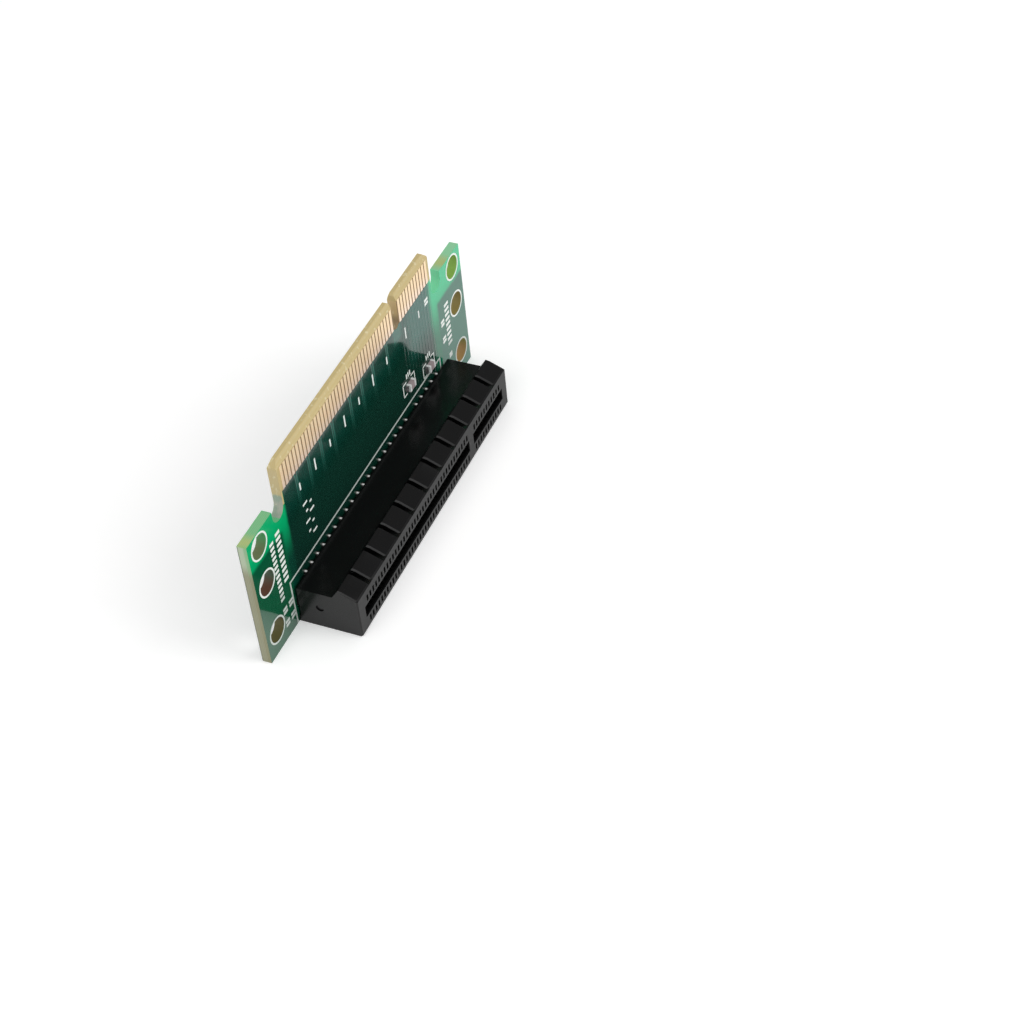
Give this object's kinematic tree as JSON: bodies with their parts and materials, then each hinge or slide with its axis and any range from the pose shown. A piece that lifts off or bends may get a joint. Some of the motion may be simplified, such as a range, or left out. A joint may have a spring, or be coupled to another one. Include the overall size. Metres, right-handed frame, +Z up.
{
  "type": "riser card",
  "caption": "Server riser card: a gold-fingered edge tab on a drilled board, with a card slot standing square out of its face.",
  "frame": {"origin": "middle of the bottom of the bounding box, on the surface that the card stands on", "axes": "+X along the board towards the key end, -Y out of the slot's mouth, +Z up towards the gold edge contacts"},
  "size_m": [0.0742, 0.0134, 0.0306],
  "materials": {
    "board": "glossy green solder mask on glass-epoxy laminate",
    "gold": "hard gold plating",
    "housing": "moulded black glass-filled plastic",
    "contact": "formed copper-alloy strip, gold at the contact and tinned at the tail",
    "solder": "bright tin",
    "ceramic": "fired ceramic"
  },
  "bodies": {
    "root": {"circuit_board": "board", "edge_fingers_front_short": "gold", "edge_fingers_front_long": "gold", "edge_fingers_back_short": "gold", "edge_fingers_back_long": "gold", "slot_housing": "housing", "contacts_upper_outer": "contact", "solder_upper_outer": "solder", "contacts_upper_inner": "contact", "solder_upper_inner": "solder", "contacts_lower_outer": "contact", "solder_lower_outer": "solder", "contacts_lower_inner": "contact", "solder_lower_inner": "solder", "chip_1_body": "ceramic", "chip_1_end_caps": "solder", "chip_1_solder": "solder", "chip_2_body": "ceramic", "chip_2_end_caps": "solder", "chip_2_solder": "solder"}
  },
  "joints": []
}
